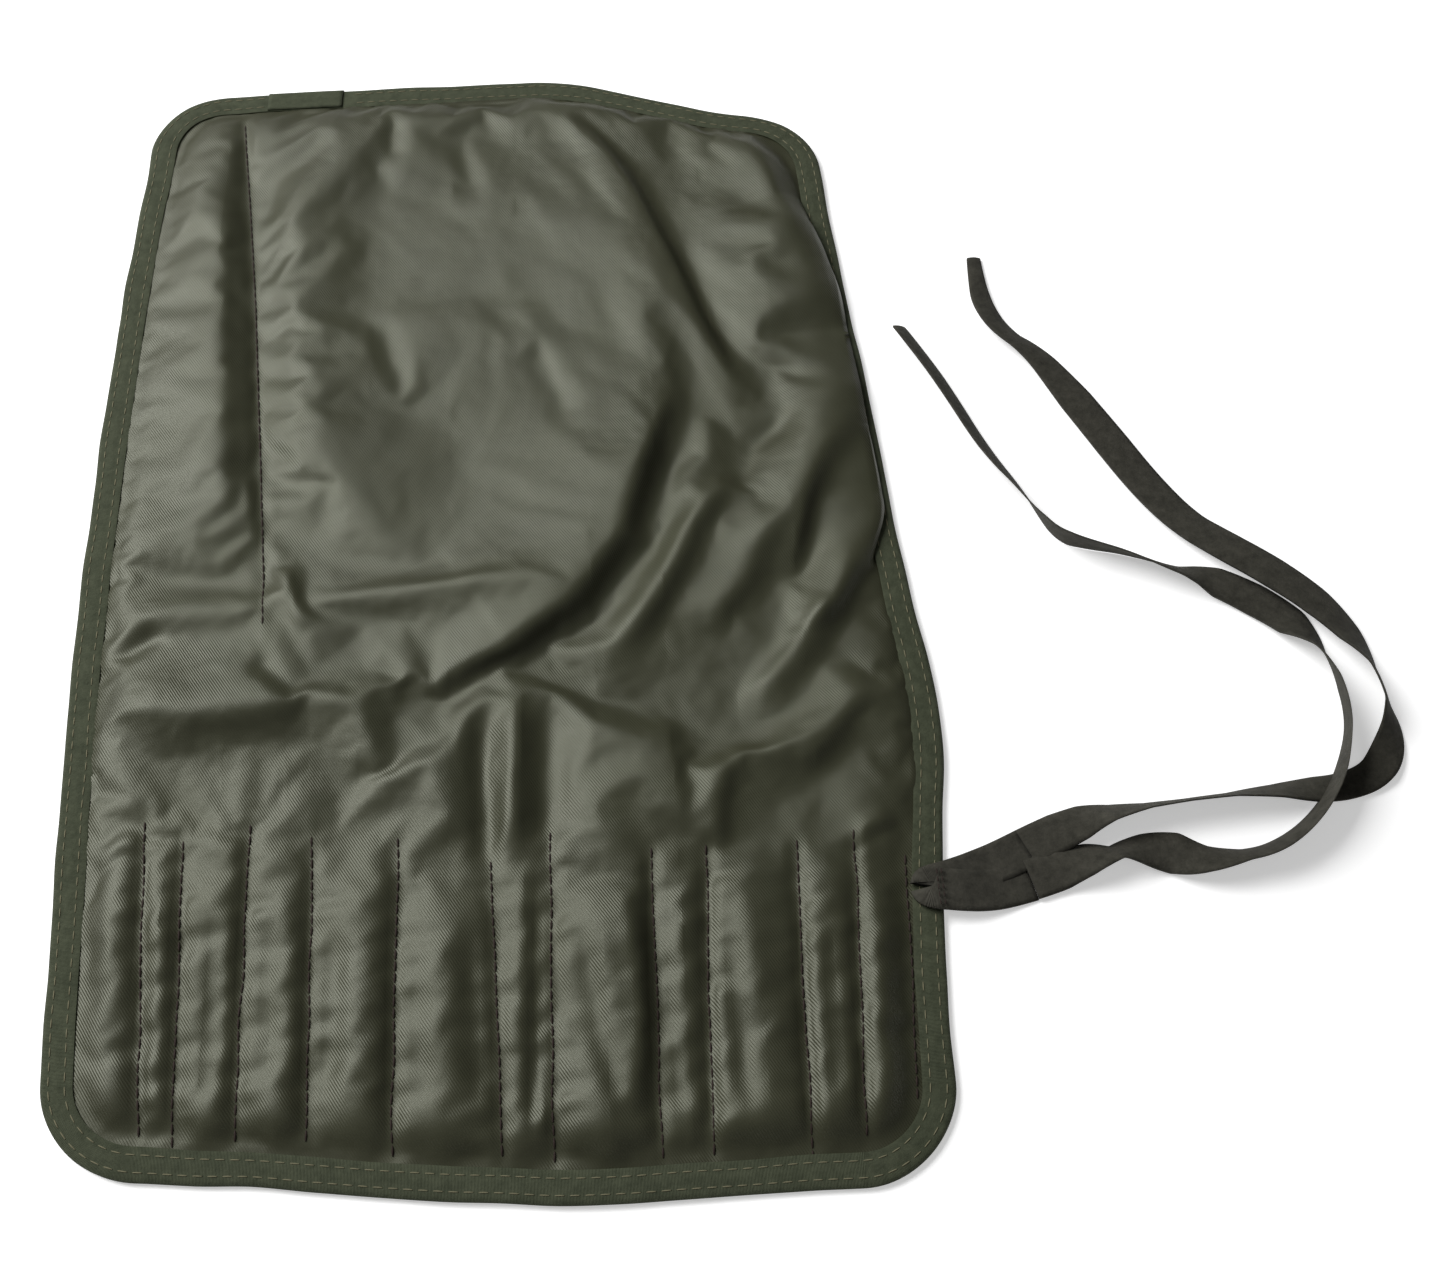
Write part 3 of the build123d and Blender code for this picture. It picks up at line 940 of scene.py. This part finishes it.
def spline_points(name, controls):
    """Points along a smooth curve drawn by control points in metres."""
    curve = bpy.data.curves.new(name, "CURVE")
    curve.dimensions = "3D"
    curve.resolution_u = 10
    spline = curve.splines.new("NURBS")
    spline.points.add(len(controls) - 1)
    for point, (x, y, z) in zip(spline.points, controls):
        point.co = (x, y, z, 1)
    spline.order_u = 3
    spline.use_endpoint_u = True
    holder = bpy.data.objects.new(name, curve)
    bpy.context.collection.objects.link(holder)
    bpy.context.view_layer.update()
    line = bpy.data.meshes.new_from_object(holder)
    points = [vert.co.copy() for vert in line.vertices]
    bpy.data.objects.remove(holder)
    bpy.data.curves.remove(curve)
    bpy.data.meshes.remove(line)
    return points


front_exit = Vector((0.160, -0.1262, 0.0016))
back_exit = Vector((0.160, -0.1160, 0.0012))
fold_route = [
    front_exit - Vector((0, 0, tie_thickness / 1000)),
    Vector((0.152, -0.1282, 0.0012)),
    Vector((0.145, -0.1292, 0.0028)),
    Vector((0.139, -0.1292, 0.0044)),
    Vector((0.134, -0.1285, 0.0047)),
    Vector((0.1305, -0.1280, 0.0047)),
    Vector((0.1288, -0.1272, 0.0042)),
    Vector((0.1305, -0.1265, 0.0037)),
    Vector((0.134, -0.1258, 0.0036)),
    Vector((0.139, -0.1244, 0.0033)),
    Vector((0.145, -0.1221, 0.0019)),
    Vector((0.152, -0.11946, 0.0011)),
    back_exit,
]
fold_line = spline_points("tie_fold_route", fold_route)
fold_bm = ribbon(fold_line, [0.0] * len(fold_line), [tie_width] * len(fold_line), side_way=Vector((0, 1, 0)))
tie_fold = add_piece("tie_fold_tape", fold_bm, tie_tape)
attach(tie_fold, "strip_12")
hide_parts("tie_fold")
tack_bm = bmesh.new()
thread_pieces["tie_thread", 12] = tack_bm
for tack_x in (0.1312, 0.1326):
    for share in range(5):
        low = -0.1338 + share * 0.0024
        sew("tie_thread", 12, (tack_x, low, 0.00565), (tack_x, low + 0.0019, 0.00565), 0.0005)
tie_tack = add_piece("tie_tack_thread", tack_bm, thread_colours["seam_thread"])
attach(tie_tack, "strip_12")
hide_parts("tie_tack")

# Each loose half: its control points, and along its run how far the tape is turned on edge and how wide it lies
front_route = [
    front_exit,
    Vector((0.166, -0.1247, 0.0016)),
    Vector((0.174, -0.1222, 0.0033)),
    Vector((0.183, -0.1203, 0.0051)),
    Vector((0.192, -0.1190, 0.0032)),
    Vector((0.201, -0.1196, 0.0020)),
    Vector((0.211, -0.1238, 0.0040)),
    Vector((0.222, -0.1240, 0.0053)),
    Vector((0.234, -0.1225, 0.0059)),
    Vector((0.246, -0.1155, 0.0070)),
    Vector((0.256, -0.1045, 0.0080)),
    Vector((0.262, -0.0930, 0.0072)),
    Vector((0.266, -0.0820, 0.0068)),
    Vector((0.2665, -0.0700, 0.0067)),
    Vector((0.2640, -0.0570, 0.0059)),
    Vector((0.2575, -0.0440, 0.0022)),
    Vector((0.2470, -0.0345, 0.0016)),
    Vector((0.2350, -0.0270, 0.0020)),
    Vector((0.2230, -0.0240, 0.0049)),
    Vector((0.2080, -0.0170, 0.0056)),
    Vector((0.1960, -0.0135, 0.0060)),
    Vector((0.1870, -0.0100, 0.0062)),
    Vector((0.1815, -0.0020, 0.0060)),
    Vector((0.1760, 0.0110, 0.0053)),
    Vector((0.1700, 0.0220, 0.0046)),
    Vector((0.1650, 0.0330, 0.0041)),
    Vector((0.1590, 0.0490, 0.0040)),
    Vector((0.1520, 0.0660, 0.0038)),
    Vector((0.1440, 0.0820, 0.0035)),
]
front_turns = [0, -4, -22, -50, -20, 8, -30, -54, -60, -70, -80, -90, -98, -104, -122]
front_turns += [-170, -176, -170, -132, -118, -108, -100, -104, -118, -128, -134, -136, -138, -140]
front_widths = [12.7, 12.7, 12, 10.5, 12.2, 12.7, 11.5, 10.5, 11, 11.5, 11.5, 11.5, 11.5, 11.5, 12]
front_widths += [12.7, 12.7, 12.5, 11, 10.5, 10.5, 10.5, 10, 9, 8.5, 8, 8, 8, 7.5]
back_route = [
    back_exit,
    Vector((0.166, -0.1134, 0.0015)),
    Vector((0.174, -0.1105, 0.0029)),
    Vector((0.183, -0.1078, 0.0050)),
    Vector((0.194, -0.1064, 0.0057)),
    Vector((0.206, -0.1055, 0.0059)),
    Vector((0.220, -0.1045, 0.0059)),
    Vector((0.236, -0.1035, 0.0050)),
    Vector((0.250, -0.1030, 0.0024)),
    Vector((0.262, -0.1025, 0.0015)),
    Vector((0.273, -0.0985, 0.0017)),
    Vector((0.2795, -0.0885, 0.0039)),
    Vector((0.2805, -0.0770, 0.0060)),
    Vector((0.2790, -0.0640, 0.0060)),
    Vector((0.2745, -0.0510, 0.0048)),
    Vector((0.2660, -0.0385, 0.0054)),
    Vector((0.2530, -0.0260, 0.0054)),
    Vector((0.2400, -0.0150, 0.0046)),
    Vector((0.2300, -0.0050, 0.0027)),
    Vector((0.2200, 0.0110, 0.0019)),
    Vector((0.2090, 0.0340, 0.0016)),
    Vector((0.1990, 0.0540, 0.0016)),
    Vector((0.1910, 0.0680, 0.0025)),
    Vector((0.1800, 0.0780, 0.0037)),
    Vector((0.1755, 0.0890, 0.0031)),
    Vector((0.1745, 0.1000, 0.0021)),
    Vector((0.1750, 0.1130, 0.0014)),
]
back_turns = [0, -4, -18, -46, -62, -66, -64, -46, -16, -6, -8, 30, 64, 60]
back_turns += [30, 14, 8, 8, 10, 6, 4, 4, 14, 30, 24, 12, 4]
back_widths = [12.7, 12.7, 12.2, 11, 10.5, 10.5, 10.5, 10, 9.5, 9.5, 10.5, 11, 11, 11.5]
back_widths += [12.7, 12.7, 12.7, 12.7, 12.7, 12.7, 12.7, 12.2, 10.5, 9.5, 9, 7.5, 5]
tails = (
    ("front", front_route, front_turns, front_widths),
    ("back", back_route, back_turns, back_widths),
)
for which, route, turns, widths in tails:
    line = spline_points(f"tie_tail_{which}_route", route)
    shares = np.linspace(0, 1, len(line)) * (len(route) - 1)
    banks = np.interp(shares, range(len(route)), turns)
    wide = np.interp(shares, range(len(route)), widths)
    tail_bm = ribbon(line, list(banks), list(wide))
    tail = add_piece(f"tie_tail_{which}_tape", tail_bm, tie_tape)
    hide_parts(f"tie_tail_{which}")
    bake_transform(tail)
